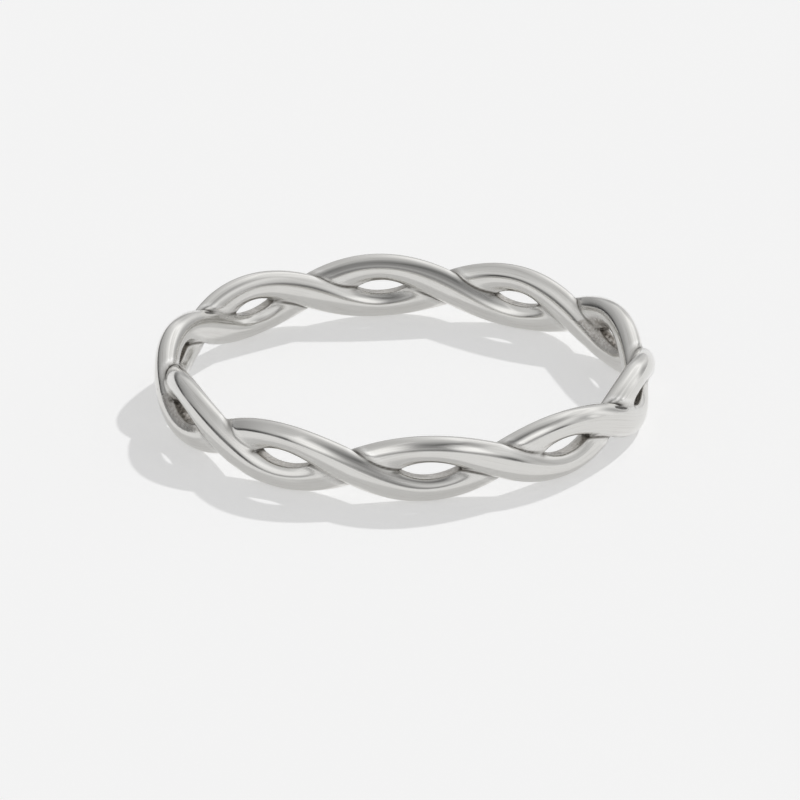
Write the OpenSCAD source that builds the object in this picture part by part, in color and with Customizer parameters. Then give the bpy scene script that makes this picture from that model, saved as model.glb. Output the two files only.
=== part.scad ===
// Twisted band ring.
// Two strands of equal section twist round each other in a closed loop. They are
// joined by solder wherever they cross, so the whole ring is one solid, and a
// lens-shaped eye goes straight through the wall between two crossings.
// Millimetres. The ring lies on its side: its axis is Z, it rests on Z = 0, and
// the origin is on the axis. The +X axis passes through a crossing, and -Y is
// the front, which passes through the middle of an open eye.

/* [Band] */
// Diameter of the circle that the two strands twist about
core_d = 18.6; // [14:0.1:24]
// Full turns that each strand makes about that circle (two crossings each)
turns = 5; // [3:1:7]
// Direction of the twist
twist = "right-handed"; // [right-handed, left-handed]

/* [Strand path] */
// How far a strand rises above and falls below the middle of the band
rise = 0.8; // [0.75:0.01:1.1]
// How far a strand moves out where it passes over, and in where it passes under
step_out = 0.16; // [0.05:0.01:0.4]

/* [Strand section] */
// Thickness of a strand, measured across the band's wall
strand_t = 0.96; // [0.8:0.01:1.3]
// Height of a strand beside an eye, at the top and bottom of the band
eye_h = 1.07; // [0.9:0.01:1.3]
// Height of a strand where it crosses the other, square to its run
cross_h = 1.36; // [1:0.01:1.5]

/* [Eyes] */
// Height of the front eye at its middle, between its upper and lower walls
eye_open = 0.67; // [0.5:0.01:0.75]
// Length of the front eye along the band, from tip to tip
eye_l = 2.5; // [2:0.1:3.4]
// How full the eye's outline is: 2 is a round bow, and more is fuller towards the tips
eye_full = 2.2; // [1.6:0.1:3]
// How much the eyes shrink from the front of the ring to its sides, and again to its back
eye_vary = 0.075; // [0:0.005:0.1]
// How far an eye's rims are shifted along the band, at the strands' faces, as the strands pass over and under
eye_skew = 0.13; // [0:0.01:0.2]
// Thickness of the solder web that closes the crotches at both ends of an eye
web_t = 0.44; // [0.3:0.02:0.7]

/* [Bend] */
// How far wear has bent the band up and down out of flat
bend = 0.055; // [0:0.005:0.1]
// Where the bend is highest, in degrees round the band from +X
bend_at = 147; // [0:1:180]

/* [Smoothness] */
// Stations along each turn of a strand
per_turn = 20; // [12:4:28]
// Facets round a strand's section
round_n = 16; // [12:4:20]
// Facets along the upper edge of an eye
eye_n = 8; // [6:2:12]

/* [Hidden] */

hand = twist == "right-handed" ? 1 : -1;
core_r = core_d / 2;
stations = turns * per_turn;
crossings = 2 * turns;
eye_at = [for (k = [0 : crossings - 1]) 360 * (k + 0.5) / crossings];
top_z = rise + eye_h / 2 + max([for (a = eye_at) lift(a)]);
low_z = -rise - eye_h / 2 + min([for (a = eye_at) lift(a)]);
band_h = top_z - low_z;            // height of the band
outer_r = core_r + step_out + strand_t / 2;
inner_r = core_r - step_out - strand_t / 2;
echo(inner_diameter = 2 * inner_r, outer_diameter = 2 * outer_r, band_height = band_h);

// Phase of the twist at angle a round the ring; side 0 and 180 are the two strands.
// Phase 0 is a crossing, where the strand with side 0 lies inside.
function phase(a, side) = turns * a + side;

// Lift of the bent band at angle a round the ring.
function lift(a) = bend * cos(2 * (a - bend_at));

// Height of a strand's section: tallest at a crossing, least beside an eye.
function height(f) = (cross_h + eye_h) / 2 + (cross_h - eye_h) / 2 * cos(2 * f);

// Centre of a strand at angle a.
function centre(a, side) =
    let (f = phase(a, side), r = core_r - step_out * cos(f))
    [r * cos(a), r * sin(a), hand * rise * sin(f) + lift(a)];

// Direction in which the strand runs at angle a: the derivative of centre().
function heading(a, side) =
    let (f = phase(a, side),
         r = core_r - step_out * cos(f),
         dr = turns * step_out * sin(f),
         dz = hand * turns * rise * cos(f) - 2 * bend * sin(2 * (a - bend_at)),
         d = [dr * cos(a) - r * sin(a), dr * sin(a) + r * cos(a), dz])
    d / norm(d);

// Across the wall, square to the heading.
function outward(a, h) =
    let (e = [cos(a), sin(a), 0], q = e - (e * h) * h)
    q / norm(q);

// One oval section: round_n points, square to the heading.
function section(a, side) =
    let (c = centre(a, side), h = heading(a, side), o = outward(a, h), u = cross(o, h),
         half_h = height(phase(a, side)) / 2)
    [for (j = [0 : round_n - 1])
        let (v = 360 * j / round_n)
        c + strand_t / 2 * cos(v) * o + half_h * sin(v) * u];

// A closed strand: a tube through all its sections.
module strand(side) {
    points = [for (i = [0 : stations - 1]) each section(360 * i / stations, side)];
    function p(i, j) = (i % stations) * round_n + (j % round_n);
    faces = [for (i = [0 : stations - 1]) for (j = [0 : round_n - 1])
        each [[p(i, j), p(i, j + 1), p(i + 1, j + 1)],
              [p(i, j), p(i + 1, j + 1), p(i + 1, j)]]];
    polyhedron(points = points, faces = faces, convexity = 10);
}

// The solder between the strands: a thin upright band whose edges run inside them.
module web() {
    function half(a) = max(0.3, rise * abs(sin(phase(a, 0))));
    points = [for (i = [0 : stations - 1])
        let (a = 360 * i / stations, t = web_t / 2, h = half(a), w = lift(a))
        each [for (s = [[-1, -1], [1, -1], [1, 1], [-1, 1]])
            [(core_r + s[0] * t) * cos(a), (core_r + s[0] * t) * sin(a), w + s[1] * h]]];
    function p(i, j) = (i % stations) * 4 + (j % 4);
    faces = [for (i = [0 : stations - 1]) for (j = [0 : 3])
        each [[p(i, j), p(i, j + 1), p(i + 1, j + 1)],
              [p(i, j), p(i + 1, j + 1), p(i + 1, j)]]];
    polyhedron(points = points, faces = faces, convexity = 10);
}

// One eye: a lens-shaped outline on the band, cut through the wall. Its upper rim is shifted one way
// along the band at the outer face and the other way at the inner face, and its lower rim the opposite.
module eye(a0) {
    n = eye_n;
    size = 1 - eye_vary * (1 + sin(a0));
    span = size * eye_l / core_r * 90 / PI;
    bow = [for (i = [0 : n]) let (u = 2 * i / n - 1) [span * u, size * eye_open / 2 * (1 - pow(abs(u), eye_full))]];
    rim = [for (i = [0 : n]) bow[i], for (i = [n - 1 : -1 : 1]) [bow[i][0], -bow[i][1]]];
    m = len(rim);
    function skew(r, z) = hand * eye_skew / core_r * 180 / PI * (r - core_r) / (strand_t / 2) * z / (eye_open / 2);
    function at(r, q) = let (a = a0 + q[0] - skew(r, q[1])) [r * cos(a), r * sin(a), q[1] + lift(a)];
    points = [for (r = [core_r - 1.2, core_r + 1.2]) for (q = rim) at(r, q)];
    // the two caps are strips between the upper and the lower bow
    cap = [for (i = [0 : n - 1])
        let (a = i, b = i + 1, c = (m - i - 1) % m, d = (m - i) % m)
        each [if (i < n - 1) [a, b, c], if (i > 0) [a, c, d]]];
    walls = [for (i = [0 : m - 1]) let (j = (i + 1) % m)
        each [[i, j + m, i + m], [i, j, j + m]]];
    polyhedron(points = points,
        faces = concat(walls, [for (t = cap) [t[2], t[1], t[0]]], [for (t = cap) [t[0] + m, t[1] + m, t[2] + m]]),
        convexity = 4);
}

module twisted_band() {
    color([0.78, 0.77, 0.75])
        resize([2 * outer_r, 0, band_h])
            translate([0, 0, -low_z])
                difference() {
                    union() {
                        strand(0);
                        strand(180);
                        web();
                    }
                    for (a = eye_at) eye(a);
                }
}

twisted_band();
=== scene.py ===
import math

import bpy
import numpy as np
from mathutils import Matrix, Vector


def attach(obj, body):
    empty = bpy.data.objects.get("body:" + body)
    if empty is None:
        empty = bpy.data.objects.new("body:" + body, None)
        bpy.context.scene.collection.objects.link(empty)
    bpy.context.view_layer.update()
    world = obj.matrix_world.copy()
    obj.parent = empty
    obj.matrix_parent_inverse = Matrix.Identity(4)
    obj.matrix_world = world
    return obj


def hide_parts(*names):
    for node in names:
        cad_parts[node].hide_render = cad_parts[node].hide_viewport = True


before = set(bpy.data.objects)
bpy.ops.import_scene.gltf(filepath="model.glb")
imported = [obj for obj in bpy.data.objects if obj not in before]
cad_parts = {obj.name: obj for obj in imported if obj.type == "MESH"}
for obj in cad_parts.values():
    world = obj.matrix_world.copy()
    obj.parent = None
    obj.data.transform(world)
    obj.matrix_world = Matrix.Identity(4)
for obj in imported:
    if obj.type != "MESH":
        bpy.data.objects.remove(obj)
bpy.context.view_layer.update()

# ---------------------------------------------------------------------------
# Sizes of the ring, in millimetres, as in the CAD source
# ---------------------------------------------------------------------------
CORE_R = 9.3        # radius of the circle that the two strands twist about
TURNS = 5           # full turns of each strand
RISE = 0.80         # strand centre above and below the middle of the band
STEP = 0.16         # strand centre in and out of the core circle
HALF_T = 0.48       # half a strand's thickness across the wall
EYE_H = 1.07        # a strand's height beside an eye
CROSS_H = 1.36      # a strand's height where it crosses the other
EYE_HALF = 0.335    # half the height of an eye between its flat walls
EYE_SPAN = 2.5 / CORE_R / 2   # half the length of an eye, as an angle
EYE_FULL = 2.2      # how full the eye's outline is
EYE_SKEW = 0.0869   # how an eye's rims are skewed along the band, as the strands pass over and under
EYE_VARY = 0.075    # how much the eyes shrink from the front of the ring to its sides, and again to its back
WEB_T = 0.44        # thickness of the solder web between the strands
BEND, BEND_AT = 0.055, math.radians(147)   # how far, and where, wear has bent the band out of flat
FILLET = 0.20       # reach of the fillet between two strands
WEB_FILLET = 0.10   # reach of the fillet between a strand and the web
SEAM, SEAM_W = 0.085, 0.11   # depth and half width of the groove between two strands at the top and bottom of a crossing
EDGE = 0.08         # rounding of an eye's edges
CELL = 0.0665       # grid of the mesh
PITTED = (1, .3, .2, .3, .4, 1, .3, .2, .3, .25)  # how rough each eye's walls were left, from +X on
CLEFT = (.7, .5, .5, .5, 1, 1, .5, .7, .5, 1)     # how deep the groove is at each crossing, and how dark the painted shade in it, from +X on
# Short nicks that polish did not reach, carved a little into the surface and painted with dark shade, each from one
# point to another (angle round the ring in degrees, radius, height above the band's middle), with their half width
NICKS = (
    ((322.4, 9.69, 0.72), (327.8, 9.71, 0.36), 0.11),
    ((147.0, 8.97, 0.83), (141.8, 9.01, 0.57), 0.10),
    ((179.8, 9.36, 0.68), (182.0, 9.37, 0.75), 0.11),
)

EYES = math.pi / TURNS * (np.arange(2 * TURNS) + 0.5)
MID_Z = RISE + EYE_H / 2 - BEND * np.cos(2 * (EYES - BEND_AT)).min()

# The photograph's view: azimuth and elevation of the camera round the ring
VIEW_AZ, VIEW_EL = -6.078, 23.134
CAM_DIST = 360.1    # from the ring's centre
CAM_LENS = 408.70   # on a 36 mm sensor
AIM_RIGHT, AIM_UP, ROLL = -0.192, -1.036, 0.217


def direction(az, el):
    """Unit vector towards azimuth az, counted to the right from the photograph's camera, and elevation el."""
    a, e = math.radians(az + VIEW_AZ), math.radians(el)
    return Vector((math.sin(a) * math.cos(e), -math.cos(a) * math.cos(e), math.sin(e)))


# ---------------------------------------------------------------------------
# The ring's surface: two oval tubes and the web between them, less the eyes
# ---------------------------------------------------------------------------
def strand_path(th, side):
    f = TURNS * th + side * math.pi
    r = CORE_R - STEP * np.cos(f)
    z = RISE * np.sin(f)
    dr = TURNS * STEP * np.sin(f)
    dz = TURNS * RISE * np.cos(f)
    c, s = np.cos(th), np.sin(th)
    return np.stack([r * c, r * s, z], -1), np.stack([dr * c - r * s, dr * s + r * c, dz], -1), f


def strand_frame(th, side):
    C, D, f = strand_path(th, side)
    T = D / np.linalg.norm(D, axis=-1, keepdims=True)
    out = np.stack([np.cos(th), np.sin(th), np.zeros_like(th)], -1)
    out = out - (out * T).sum(-1, keepdims=True) * T
    out /= np.linalg.norm(out, axis=-1, keepdims=True)
    up = np.cross(T, out)
    up *= np.sign(up[..., 2:3])
    return C, D, f, out, up


def half_height(f):
    return 0.25 * (CROSS_H + EYE_H) + 0.25 * (CROSS_H - EYE_H) * np.cos(2 * f)


def strand_distance(P, side, steps=3):
    """Distance to one strand's surface, its gradient, the angle round the section and the angle round the ring."""
    th = np.arctan2(P[:, 1], P[:, 0])
    for _ in range(steps):
        C, D, f = strand_path(th, side)
        th = th + 0.9 * ((P - C) * D).sum(-1) / (D * D).sum(-1)
    C, D, f, out, up = strand_frame(th, side)
    e = P - C
    x, y = (e * out).sum(-1), (e * up).sum(-1)
    h = half_height(f)
    q = np.sqrt((x / HALF_T) ** 2 + (y / h) ** 2) + 1e-9
    gx, gy = x / (HALF_T ** 2 * q), y / (h ** 2 * q)
    gn = np.sqrt(gx * gx + gy * gy) + 1e-9
    grad = (gx / gn)[:, None] * out + (gy / gn)[:, None] * up
    return (q - 1) / gn, grad, np.arctan2(y / h, x / HALF_T), th


def blend(a, ga, b, gb, k):
    """Smooth minimum of two distances, with its gradient and how much the two are blended."""
    h = np.clip(k - np.abs(a - b), 0, None) / k
    w = np.where(a < b, 1 - 0.5 * h * h, 0.5 * h * h)[:, None]
    return np.minimum(a, b) - h ** 3 * k / 6, w * ga + (1 - w) * gb, h


def level(P):
    """The point as it would lie if the band were not bent."""
    Q = P.copy()
    Q[:, 2] -= BEND * np.cos(2 * (np.arctan2(P[:, 1], P[:, 0]) - BEND_AT))
    return Q


def surface(P, steps=3):
    """Signed distances and gradients of the whole ring, of its body alone and of the eyes' outline."""
    P = level(P)
    d0, g0, v0, t0 = strand_distance(P, 0, steps)
    d1, g1, v1, t1 = strand_distance(P, 1, steps)
    r, th = np.hypot(P[:, 0], P[:, 1]), np.arctan2(P[:, 1], P[:, 0])
    # the fillet is wider where the solder has gathered beside an eye, and narrow at the top and bottom of a crossing
    pitch = math.pi / TURNS
    beside = np.abs(np.sin(TURNS * th))
    cleft_and_shade = np.array(CLEFT)[np.rint(th / pitch).astype(int) % (2 * TURNS)]
    cleft_and_shade = cleft_and_shade * np.clip((np.abs(P[:, 2]) - 0.33) / 0.2, 0, 1) * np.exp(-((r - CORE_R - 0.05) / 0.38) ** 2)
    tubes, gt, crotch = blend(d0, g0, d1, g1, FILLET * (1 + 1.5 * np.clip(2.2 * beside - 1, 0, 1)) * (1 - 0.5 * cleft_and_shade))
    split = d0 - d1
    groove = SEAM * cleft_and_shade * np.exp(-(split / SEAM_W) ** 2)
    tubes = tubes + groove
    gt = gt - (2 * groove * split / SEAM_W ** 2)[:, None] * (g0 - g1)
    radial = np.stack([np.cos(th), np.sin(th), np.zeros_like(th)], -1)
    round_ = np.stack([-np.sin(th), np.cos(th), np.zeros_like(th)], -1)
    web = np.maximum(np.abs(r - CORE_R) - WEB_T / 2, np.abs(P[:, 2]) - RISE * beside)
    body, gb, weld = blend(tubes, gt, web, np.sign(r - CORE_R)[:, None] * radial,
                           WEB_FILLET * (1 + 1.5 * np.clip(3.2 * (1 - beside), 0, 1)))
    # the eyes: distance outside their lens-shaped outline, counted along the band
    off = (th + 20 * pitch) % pitch - pitch / 2
    out, z = r - CORE_R, P[:, 2]
    size = 1 - EYE_VARY * (1 + np.sin(th - off))
    span, half = EYE_SPAN * size, EYE_HALF * size
    w = off + EYE_SKEW * out * z
    u = np.abs(w) / span
    slope = half * EYE_FULL * u ** (EYE_FULL - 1) / span * np.sign(w)
    ge = (slope / r)[:, None] * round_ + (slope * EYE_SKEW * z)[:, None] * radial
    ge[:, 2] += np.sign(z) + slope * EYE_SKEW * out
    n = np.linalg.norm(ge, axis=1)
    rim = (np.abs(z) - half * (1 - u ** EYE_FULL)) / n
    ge /= n[:, None]
    whole, gw, _ = blend(-body, -gb, rim, ge, EDGE)
    # the eyes' corners, where painted shade goes
    corner = np.exp(-((np.abs(w) - 1.04 * span) * CORE_R / 0.15) ** 2 - (z / 0.08) ** 2)
    # painted shade down the middle of each crossing's groove, and a painted highlight on the groove's flanks
    painted_shade, painted_highlight = cleft_and_shade * np.exp(-(split / 0.10) ** 2), cleft_and_shade * np.exp(-((np.abs(split) - 0.22) / 0.08) ** 2)
    for p, q, width in NICKS:
        p, q = (np.array([t[1] * math.cos(math.radians(t[0])), t[1] * math.sin(math.radians(t[0])), t[2]]) for t in (p, q))
        along = np.clip((P - p) @ (q - p) / ((q - p) @ (q - p)), 0, 1)
        away = P - p - along[:, None] * (q - p)
        reach = width * (0.45 + 2.2 * along * (1 - along))
        shape = np.exp(-(away * away).sum(-1) / reach ** 2)
        nick = 0.35 * width * shape
        whole = whole - nick
        gw = gw + (2 * nick / reach ** 2)[:, None] * away
        # the nicks get painted shade too
        painted_shade = np.maximum(painted_shade, shape)
    # the hollow round an eye, from one crossing to the next, on the one side that was left rough: inside at the
    # first eye, and outside at the other
    first = np.rint((th - off) / pitch - 0.5).astype(int) % (2 * TURNS) == 0
    hx, hz = w * CORE_R - 0.3 * first, z - 0.06 * first
    hollow = np.clip((1 - np.abs(hz) / ((0.60 + 0.10 * first) * np.clip(1 - (hx / 1.85) ** 2, 0.02, 1))) / 0.35, 0, 1)
    hollow = hollow * np.clip(0.5 + np.where(first, -1, 1) * out / 0.2, 0, 1)
    near = d0 < d1
    return dict(d=-whole, g=-gw, body=body, gb=gb, rim=rim, ge=ge, crotch=np.maximum(crotch, 0.5 * weld),
                corner=corner, hollow=hollow,
                cleft_and_shade=painted_shade, painted_highlight=painted_highlight,
                v=np.where(near, v0, v1), t=np.where(near, t0, t1), near=near)


def skin():
    """A first quad mesh of the ring: one point in each grid cell that the surface passes through."""
    n = int(round(2 * math.pi * CORE_R / (CELL * 1.2)))
    rr = np.arange(CORE_R - 0.86, CORE_R + 0.86, CELL)
    zz = np.arange(-1.52, 1.52, CELL)
    th = np.arange(n) * 2 * math.pi / n
    T, R, Z = np.meshgrid(th, rr, zz, indexing="ij")
    P = np.stack([R * np.cos(T), R * np.sin(T), Z], -1).reshape(-1, 3)
    s = surface(P, 3)
    F = s["d"].reshape(T.shape)
    C = (s["body"] + s["rim"]).reshape(T.shape)       # positive outside an eye's edge, negative on its wall
    nr, nz = len(rr), len(zz)
    # two sheets of the surface may not share an edge: where the corners of a cell's face are in and out in turn,
    # the one nearest the surface changes sides
    around = np.array([(0, 0), (1, 0), (1, 1), (0, 1)])
    for _ in range(4):
        for a, b in ((0, 1), (0, 2), (1, 2)):
            G = np.stack([np.roll(F, (-i, -j), (a, b)) for i, j in around])
            inside = G < 0
            at = np.nonzero((inside[0] == inside[2]) & (inside[1] == inside[3]) & (inside[0] != inside[1]))
            nearest = around[np.abs(G[(slice(None),) + at]).argmin(0)]
            at = list(at)
            at[a], at[b] = at[a] + nearest[:, 0], at[b] + nearest[:, 1]
            at[0] = at[0] % n
            F[tuple(at)] *= -1

    def corner(A, i, j, k):
        return np.roll(A, -i, 0)[:, j:nr - 1 + j, k:nz - 1 + k]

    S = F < 0
    count = sum(corner(S, i, j, k).astype(int) for i in (0, 1) for j in (0, 1) for k in (0, 1))
    live = (count > 0) & (count < 8)
    acc = np.zeros(live.shape + (3,))
    hits = np.zeros(live.shape)
    lo, hi = np.full(live.shape, 9.0), np.full(live.shape, -9.0)
    for ax in range(3):
        for p in (0, 1):
            for q in (0, 1):
                o = [p, q]
                o.insert(ax, 0)
                e = list(o)
                e[ax] = 1
                f0, f1 = corner(F, *o), corner(F, *e)
                cross = (f0 < 0) != (f1 < 0)
                t = np.where(cross, f0 / np.where(cross, f0 - f1, 1), 0)
                for a in range(3):
                    acc[..., a] += np.where(cross, t if a == ax else o[a], 0)
                hits += cross
                c = corner(C, *o) * (1 - t) + corner(C, *e) * t
                lo = np.where(cross, np.minimum(lo, c), lo)
                hi = np.where(cross, np.maximum(hi, c), hi)
    index = np.full(live.shape, -1)
    index[live] = np.arange(live.sum())
    I, J, K = np.nonzero(live)
    g = acc[live] / hits[live][:, None] + np.stack([I, J, K], -1)
    a, r = g[:, 0] * 2 * math.pi / n, rr[0] + g[:, 1] * CELL
    V = np.stack([r * np.cos(a), r * np.sin(a), zz[0] + g[:, 2] * CELL], -1)
    edge = ((lo < 0) & (hi > 0))[live]
    quads = []
    for ax in range(3):
        A = S[:, 1:-1, 1:-1] if ax == 0 else (S[:, :-1, 1:-1] if ax == 1 else S[:, 1:-1, :-1])
        B = np.roll(S, -1, 0)[:, 1:-1, 1:-1] if ax == 0 else (S[:, 1:, 1:-1] if ax == 1 else S[:, 1:-1, 1:])
        I, J, K = np.nonzero(A != B)
        outward = A[I, J, K]
        J, K = (J + 1, K + 1) if ax == 0 else ((J, K + 1) if ax == 1 else (J + 1, K))
        h = (I - 1) % n
        if ax == 0:
            q = [index[I, J - 1, K - 1], index[I, J - 1, K], index[I, J, K], index[I, J, K - 1]]
        elif ax == 1:
            q = [index[h, J, K - 1], index[I, J, K - 1], index[I, J, K], index[h, J, K]]
        else:
            q = [index[h, J - 1, K], index[h, J, K], index[I, J, K], index[I, J - 1, K]]
        q = np.stack(q, -1)
        q[~outward] = q[~outward][:, ::-1]
        quads.append(q)
    return V, np.concatenate(quads), edge


def rough_cast(P):
    """A fine uneven height for the walls as cast, and its gradient."""
    rng = np.random.default_rng(11)
    h, g = np.zeros(len(P)), np.zeros_like(P)
    for size in (0.75, 0.45, 0.30, 0.22, 0.17):
        for _ in range(5):
            k = rng.normal(size=3)
            k *= 2 * math.pi / size / np.linalg.norm(k)
            a = 0.011 * size ** 0.75
            ph = P @ k + rng.uniform(0, 6.28)
            h += a * np.sin(ph)
            g += a * np.cos(ph)[:, None] * k
    return h, g


def build_ring():
    P, Q, edge = skin()
    n = len(P)
    E = np.sort(np.concatenate([Q[:, [0, 1]], Q[:, [1, 2]], Q[:, [2, 3]], Q[:, [3, 0]]]), 1)
    E = np.unique(E, axis=0)
    along = E[edge[E[:, 0]] & edge[E[:, 1]]]          # the parts of an eye's edge

    def mean(E, X):
        deg = np.maximum(np.bincount(E.ravel(), minlength=n), 1)[:, None]
        return np.stack([np.bincount(E[:, 0], X[E[:, 1], a], n) + np.bincount(E[:, 1], X[E[:, 0], a], n)
                         for a in range(3)], -1) / deg

    linked = np.bincount(along.ravel(), minlength=n) > 0
    for k in range(11):
        # pull the points onto the surface, those of an edge onto the edge, then even them out along it
        for _ in range(2):
            s = surface(P, 2)
            P = P - (s["d"] / (s["g"] ** 2).sum(-1))[:, None] * s["g"]
            s = surface(P[edge], 2)
            P[edge] -= (s["body"] / (s["gb"] ** 2).sum(-1))[:, None] * s["gb"]
            s = surface(P[edge], 2)
            P[edge] -= s["rim"][:, None] * s["ge"]
        if k < 10:
            L = mean(E, P) - P
            N = surface(P, 2)["g"]
            N /= np.linalg.norm(N, axis=1, keepdims=True)
            L = 0.6 * (L - (L * N).sum(-1, keepdims=True) * N)
            L[edge] = np.where(linked[:, None], 0.5 * (mean(along, P) - P), 0)[edge]
            P = P + L
    s = surface(P, 3)
    P = P - (s["d"] / (s["g"] ** 2).sum(-1))[:, None] * s["g"]
    s = surface(P, 3)
    N = s["g"] / np.linalg.norm(s["g"], axis=1, keepdims=True)
    # 1 on an eye's flat wall, 0 on the polished strands
    c = s["body"] + s["rim"]
    wall = np.clip(0.3 - c / 0.10, 0, 1)
    turn = (np.arctan2(P[:, 1], P[:, 0]) / (math.pi / TURNS)) % (2 * TURNS)
    pits = np.array(PITTED)[turn.astype(int) % (2 * TURNS)]
    hollow = np.where(pits >= 1, s["hollow"], 0)
    pitted = np.maximum(pits * wall, 0.75 * hollow)
    rough, grad = rough_cast(P)
    amount = np.maximum(pits * wall * np.clip(-c / 0.12, 0, 1), 0.18 * hollow)[:, None]
    P = P + amount * rough[:, None] * N
    grad = grad - (grad * N).sum(-1, keepdims=True) * N
    N = N - amount * grad
    N /= np.linalg.norm(N, axis=1, keepdims=True)

    P[:, :2] *= 0.9997
    me = bpy.data.meshes.new("silver_twist")
    me.from_pydata(((P + np.array([0, 0, MID_Z])) / 1000).tolist(), [], Q.tolist())
    me.update()
    v, t, near = s["v"], s["t"], s["near"]
    for name, kind, data in (
        ("crotch", "FLOAT", s["crotch"]),
        ("wall", "FLOAT", wall),
        ("pitted", "FLOAT", pitted),
        ("corner", "FLOAT", s["corner"]),
        ("cleft_and_shade", "FLOAT", s["cleft_and_shade"]),
        ("painted_highlight", "FLOAT", s["painted_highlight"]),
        ("grain", "FLOAT_VECTOR", np.stack([10.5 * np.cos(v) + 40 * near, 10.5 * np.sin(v), 3.2 * np.cos(t)], -1)),
        ("grain_w", "FLOAT", 3.2 * np.sin(t)),
    ):
        a = me.attributes.new(name, kind, "POINT")
        a.data.foreach_set("vector" if kind == "FLOAT_VECTOR" else "value", data.astype(np.float32).ravel())
    for p in me.polygons:
        p.use_smooth = True
    me.update()
    me.normals_split_custom_set_from_vertices(N.tolist())
    ob = bpy.data.objects.new("silver_twist", me)
    bpy.context.scene.collection.objects.link(ob)
    return ob


# ---------------------------------------------------------------------------
# Materials
# ---------------------------------------------------------------------------
class Nodes:
    """Short helper for building node trees."""

    def __init__(self, tree):
        self.t = tree

    def new(self, kind, **kw):
        n = self.t.nodes.new(kind)
        ins = kw.pop("ins", {})
        for k, v in kw.items():
            setattr(n, k, v)
        for k, v in ins.items():
            if isinstance(v, bpy.types.NodeSocket):
                self.t.links.new(v, n.inputs[k])
            else:
                n.inputs[k].default_value = v
        return n

    def math(self, op, a, b=0.0, c=0.0, clamp=False):
        return self.new("ShaderNodeMath", operation=op, use_clamp=clamp, ins={0: a, 1: b, 2: c}).outputs[0]

    def vmath(self, op, a, b=(0, 0, 0)):
        n = self.new("ShaderNodeVectorMath", operation=op, ins={0: a, 1: b})
        return n.outputs["Value"] if op == "DOT_PRODUCT" else n.outputs[0]

    def ramp(self, fac, lo, hi, a=0.0, b=1.0):
        return self.new("ShaderNodeMapRange", interpolation_type="SMOOTHSTEP",
                        ins={0: fac, 1: lo, 2: hi, 3: a, 4: b}).outputs[0]


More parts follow.
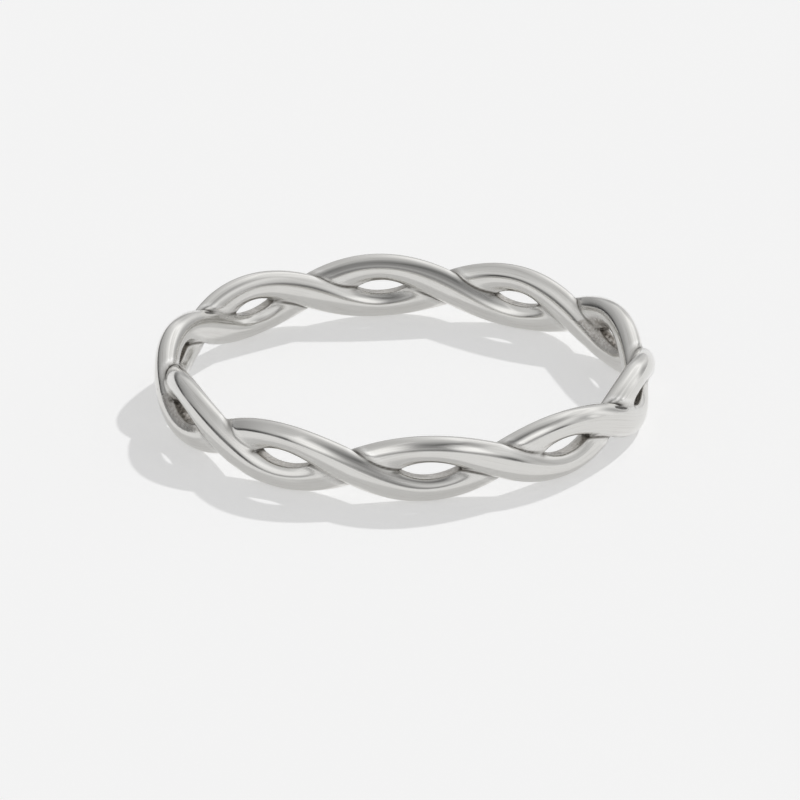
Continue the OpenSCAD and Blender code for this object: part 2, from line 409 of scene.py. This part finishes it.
def silver_material():
    mat = bpy.data.materials.new("satin_silver")
    mat.use_nodes = True
    t = mat.node_tree
    t.nodes.clear()
    k = Nodes(t)
    out = k.new("ShaderNodeOutputMaterial")
    bsdf = k.new("ShaderNodeBsdfPrincipled", ins={"Metallic": 1.0})
    t.links.new(bsdf.outputs[0], out.inputs[0])
    crotch = k.new("ShaderNodeAttribute", attribute_name="crotch").outputs["Fac"]
    wall = k.new("ShaderNodeAttribute", attribute_name="wall").outputs["Fac"]
    pitted = k.new("ShaderNodeAttribute", attribute_name="pitted").outputs["Fac"]
    corner = k.new("ShaderNodeAttribute", attribute_name="corner").outputs["Fac"]
    cleft_and_shade = k.new("ShaderNodeAttribute", attribute_name="cleft_and_shade").outputs["Fac"]
    painted_highlight = k.new("ShaderNodeAttribute", attribute_name="painted_highlight").outputs["Fac"]
    grain = k.new("ShaderNodeAttribute", attribute_name="grain").outputs["Vector"]
    gw = k.new("ShaderNodeAttribute", attribute_name="grain_w").outputs["Fac"]
    obj = k.new("ShaderNodeTexCoord").outputs["Object"]
    streak = k.new("ShaderNodeTexNoise", noise_dimensions="4D",
                   ins={"Vector": grain, "W": gw, "Scale": 1.0, "Detail": 4.0, "Roughness": 0.6}).outputs["Fac"]
    pits = k.new("ShaderNodeTexNoise", ins={"Vector": obj, "Scale": 9000.0, "Detail": 5.0, "Roughness": 0.65}).outputs["Fac"]
    cloud = k.new("ShaderNodeTexNoise", ins={"Vector": obj, "Scale": 900.0, "Detail": 3.0}).outputs["Fac"]
    # the crotch between the strands, the eyes' corners and the grooves get painted shade; a noise leaves it lighter in
    # patches, where the solder has run clean
    solder = k.new("ShaderNodeTexNoise", ins={"Vector": obj, "Scale": 420.0, "Detail": 1.0}).outputs["Fac"]
    shaded_notch = k.math("MULTIPLY", k.ramp(crotch, 0.60, 0.95), k.ramp(solder, 0.42, 0.54, 0.25, 1.0))
    shaded_notch = k.math("MAXIMUM", shaded_notch, k.math("MULTIPLY", corner, k.ramp(pits, 0.3, 0.55, 0.55, 1.0)))
    shaded_notch = k.math("MAXIMUM", shaded_notch, cleft_and_shade)
    brushed = k.new("ShaderNodeMix", data_type="RGBA", ins={0: k.math("MULTIPLY", k.ramp(streak, 0.46, 0.66), k.ramp(cloud, 0.35, 0.60, 0.35, 1.0)),
                                                            6: (0.73, 0.722, 0.70, 1), 7: (0.665, 0.653, 0.63, 1)})
    # painted highlight: the groove's flanks turn near white
    highlight_mix = k.new("ShaderNodeMix", data_type="RGBA", ins={0: k.math("MULTIPLY", painted_highlight, k.ramp(pits, 0.35, 0.55, 0.5, 1.0)),
                                                           6: brushed.outputs[2], 7: (0.93, 0.925, 0.91, 1)})
    tarnish = k.new("ShaderNodeMix", data_type="RGBA", ins={0: k.math("MULTIPLY", wall, k.ramp(pits, 0.3, 0.6, 0.5, 1.0)),
                                                            6: highlight_mix.outputs[2], 7: (0.50, 0.485, 0.46, 1)})
    cast = k.new("ShaderNodeMix", data_type="RGBA", ins={0: k.math("MULTIPLY", pitted, k.ramp(pits, 0.35, 0.65, 0.3, 1.0)),
                                                         6: tarnish.outputs[2], 7: (0.34, 0.31, 0.28, 1)})
    # painted shade in the crotches and the eyes' corners
    col = k.new("ShaderNodeMix", data_type="RGBA", ins={0: shaded_notch, 6: cast.outputs[2], 7: (0.15, 0.14, 0.125, 1)})
    # near-black painted shade in the grooves and the nicks
    col = k.new("ShaderNodeMix", data_type="RGBA", ins={0: k.ramp(cleft_and_shade, 0.35, 0.8), 6: col.outputs[2], 7: (0.05, 0.045, 0.04, 1)})
    t.links.new(col.outputs[2], bsdf.inputs["Base Color"])
    rough = k.math("ADD", k.ramp(cloud, 0.3, 0.7, 0.11, 0.15), k.math("MULTIPLY", shaded_notch, 0.20))
    rough = k.math("ADD", rough, k.math("ADD", k.math("MULTIPLY", wall, 0.06), k.math("MULTIPLY", pitted, 0.12)))
    # the solder in the fillets is duller than the strands, and a little uneven
    dull = k.ramp(crotch, 0.02, 0.45)
    rough = k.math("ADD", rough, k.math("MULTIPLY", dull, 0.13))
    t.links.new(rough, bsdf.inputs["Roughness"])
    height = k.math("ADD", k.math("MULTIPLY", streak, 0.45), k.math("MULTIPLY", k.math("MULTIPLY", pits, pitted), 4.0))
    height = k.math("ADD", height, k.math("MULTIPLY", k.math("MULTIPLY", pits, dull), 1.3))
    bump = k.new("ShaderNodeBump", ins={"Strength": 0.25, "Distance": 0.00001, "Height": height})
    t.links.new(bump.outputs[0], bsdf.inputs["Normal"])
    return mat


def floor_material():
    mat = bpy.data.materials.new("pale_board")
    mat.use_nodes = True
    t = mat.node_tree
    bsdf = t.nodes["Principled BSDF"]
    k = Nodes(t)
    obj = k.new("ShaderNodeTexCoord").outputs["Object"]
    n = k.new("ShaderNodeTexNoise", ins={"Vector": obj, "Scale": 60.0, "Detail": 2.0}).outputs["Fac"]
    mix = k.new("ShaderNodeMix", data_type="RGBA", ins={0: n, 6: (0.815, 0.815, 0.815, 1), 7: (0.825, 0.825, 0.825, 1)})
    t.links.new(mix.outputs[2], bsdf.inputs["Base Color"])
    bsdf.inputs["Roughness"].default_value = 0.9
    bsdf.inputs["Specular IOR Level"].default_value = 0.0
    # a light table: the board glows a little from below
    bsdf.inputs["Emission Color"].default_value = (1, 1, 1, 1)
    bsdf.inputs["Emission Strength"].default_value = 0.34
    return mat


# ---------------------------------------------------------------------------
# The ring
# ---------------------------------------------------------------------------
ring = build_ring()
ring.data.materials.append(silver_material())
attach(ring, "root")
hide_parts("twisted_band")

# ---------------------------------------------------------------------------
# Floor
# ---------------------------------------------------------------------------
fm = bpy.data.meshes.new("floor")
seg = 96
fm.from_pydata([(3 * math.cos(2 * math.pi * i / seg), 3 * math.sin(2 * math.pi * i / seg), 0) for i in range(seg)],
               [], [list(range(seg))])
floor = bpy.data.objects.new("floor", fm)
bpy.context.scene.collection.objects.link(floor)
fm.materials.append(floor_material())

# ---------------------------------------------------------------------------
# Studio light: a soft tent with panels and dark flags in the world, and one key light that casts the shadow
# ---------------------------------------------------------------------------
# name; az, el of the centre; half width and half height; turn; edge softness, all in degrees; light added or held off
PANELS = (
    ("left box", -39.9, 28.0, 13.8, 19.3, 44, 11.6, 0.42),
    ("left streak", -54.2, 57.2, 1.5, 17.4, 6, 4.8, 0.30),
    ("right box, low", 37.7, 22.1, 14.4, 11.7, 12, 7.7, 0.54),
    ("right box, high", 36.4, 44.3, 18.4, 14.2, -3, 7.3, 0.24),
    ("gap, core", 10.2, 43.2, 16.9, 15.1, 3, 7.7, -0.11),
    ("gap, left arm", -6.2, 58.3, 19.8, 8.6, -18, 8.4, -0.03),
    ("gap, right arm", 30.1, 53.9, 17.0, 4.8, 26, 5.4, -0.24),
    ("seam, right", 104.6, 52.6, 37.0, 9.3, -11, 4.1, -0.26),
    ("horizon, far left", -144.0, 3.0, 25.3, 5.5, -3, 6.1, -0.35),
    ("horizon, left", -85.2, 4.0, 26.8, 6.5, 13, 5.0, -0.45),
    ("left flank", -111.5, 32.8, 60.5, 30.4, -10, 14.0, -0.17),
    ("low flag, right", 80.5, 0.8, 23.4, 19.0, 34, 12.2, -0.66),
    ("lamp, right", 97.2, 9.2, 4.6, 7.3, 3, 3.8, 0.45),
    ("horizon, right", 131.4, -1.1, 24.9, 8.8, -5, 7.0, -0.19),
    ("stand", 134.1, 5.3, 9.9, 15.2, 17, 9.3, -0.77),
    ("key box", 136.4, 38.7, 19.6, 24.0, -9, 7.9, 0.11),
    ("dim patch, back", 158.5, 9.1, 16.6, 19.0, 12, 10.7, -0.62),
    ("horizon, back", 181.4, 7.6, 7.4, 10.6, -5, 6.1, -0.40),
    ("top", -2.5, 84.8, 34.2, 21.9, -21, 11.3, -0.10),
    ("right flank", 112.8, 6.2, 22.2, 31.6, -0, 13.1, -0.51),
    ("horizon, near left", -42.0, 6.0, 22.0, 6.5, 4, 6.0, -0.44),
    ("horizon, near", 2.0, 6.0, 22.0, 6.5, 0, 6.0, -0.36),
    ("horizon, near right", 46.0, 6.0, 22.0, 6.5, -4, 6.0, -0.46),
    ("gap, upper", 4.0, 66.0, 26.0, 9.0, 0, 8.0, -0.10),
    ("gap, wide", 4.0, 34.0, 19.0, 26.0, -3, 9.0, -0.22),
)
# The tent's own light in the direction x (right), y (away from the camera) and z: even, then its slopes
TENT = (("", 1.058), ("x", 0.474), ("y", 0.133), ("z", -0.098), ("xy", 0.632), ("xz", -0.552), ("yz", 0.188),
        ("xx", 0.030), ("yy", -0.153), ("zz", -0.226))
DOME = 0.40         # the tent's even light on the floor
BACKDROP = 0.887    # the plain backdrop

world = bpy.data.worlds.new("studio")
bpy.context.scene.world = world
world.use_nodes = True
wt = world.node_tree
wt.nodes.clear()
wk = Nodes(wt)
d = wk.new("ShaderNodeTexCoord").outputs["Generated"]
axes = {"x": wk.vmath("DOT_PRODUCT", d, tuple(direction(90, 0))),
        "y": wk.vmath("DOT_PRODUCT", d, tuple(-direction(0, 0))),
        "z": wk.vmath("DOT_PRODUCT", d, (0, 0, 1))}
light = TENT[0][1]
for terms, power in TENT[1:]:
    t = power
    for a in terms:
        t = wk.math("MULTIPLY", axes[a], t)
    light = wk.math("ADD", light, t)
for name, az, el, hw, hh, turn, soft, power in PANELS:
    c = direction(az, el)
    right = Vector((0, 0, 1)).cross(c)
    right.normalize()
    up = c.cross(right)
    a = math.radians(turn)
    u, v = right * math.cos(a) + up * math.sin(a), up * math.cos(a) - right * math.sin(a)
    x = wk.math("ARCTAN2", wk.vmath("DOT_PRODUCT", d, tuple(u)), wk.vmath("DOT_PRODUCT", d, tuple(c)))
    y = wk.math("ARCSINE", wk.vmath("DOT_PRODUCT", d, tuple(v)))
    mx = wk.ramp(wk.math("ABSOLUTE", x), math.radians(hw - soft), math.radians(hw + soft), 1.0, 0.0)
    my = wk.ramp(wk.math("ABSOLUTE", y), math.radians(hh - soft), math.radians(hh + soft), 1.0, 0.0)
    light = wk.math("ADD", light, wk.math("MULTIPLY", wk.math("MULTIPLY", mx, my), power))
light = wk.math("MAXIMUM", light, 0.01)
path = wk.new("ShaderNodeLightPath")
for rays, level_seen in (("Is Diffuse Ray", DOME), ("Is Camera Ray", BACKDROP)):
    light = wk.new("ShaderNodeMix", data_type="FLOAT",
                   ins={0: path.outputs[rays], 2: light, 3: level_seen}).outputs[0]
strength = light
bg = wk.new("ShaderNodeBackground", ins={"Color": (1, 1, 1, 1), "Strength": strength})
wt.links.new(bg.outputs[0], wk.new("ShaderNodeOutputWorld").inputs[0])

key = bpy.data.lights.new("key", "SUN")
key.energy = 1.30
key.angle = math.radians(2.0)
key_ob = bpy.data.objects.new("key", key)
bpy.context.scene.collection.objects.link(key_ob)
key_ob.rotation_euler = direction(144.1, 40.65).to_track_quat("Z", "Y").to_euler()
key_ob.visible_glossy = False

# ---------------------------------------------------------------------------
# Camera at the photograph's angle
# ---------------------------------------------------------------------------
cam = bpy.data.cameras.new("camera")
cam.sensor_width = 36
cam.lens = CAM_LENS
cam.clip_start, cam.clip_end = 0.01, 20
cam_ob = bpy.data.objects.new("camera", cam)
bpy.context.scene.collection.objects.link(cam_ob)
centre = Vector((0, 0, MID_Z / 1000))
back = direction(0, VIEW_EL)
side = Vector((0, 0, 1)).cross(back).normalized()
top = back.cross(side)
r = math.radians(ROLL)
side, top = side * math.cos(r) + top * math.sin(r), top * math.cos(r) - side * math.sin(r)
eye = centre + back * CAM_DIST / 1000
aim = centre + (side * AIM_RIGHT + top * AIM_UP) / 1000
z = (eye - aim).normalized()
x = top.cross(z).normalized()
y = z.cross(x)
cam_ob.matrix_world = Matrix((
    (x.x, y.x, z.x, eye.x), (x.y, y.y, z.y, eye.y), (x.z, y.z, z.z, eye.z), (0, 0, 0, 1)))
bpy.context.scene.camera = cam_ob
bpy.context.scene.view_settings.view_transform = "Standard"
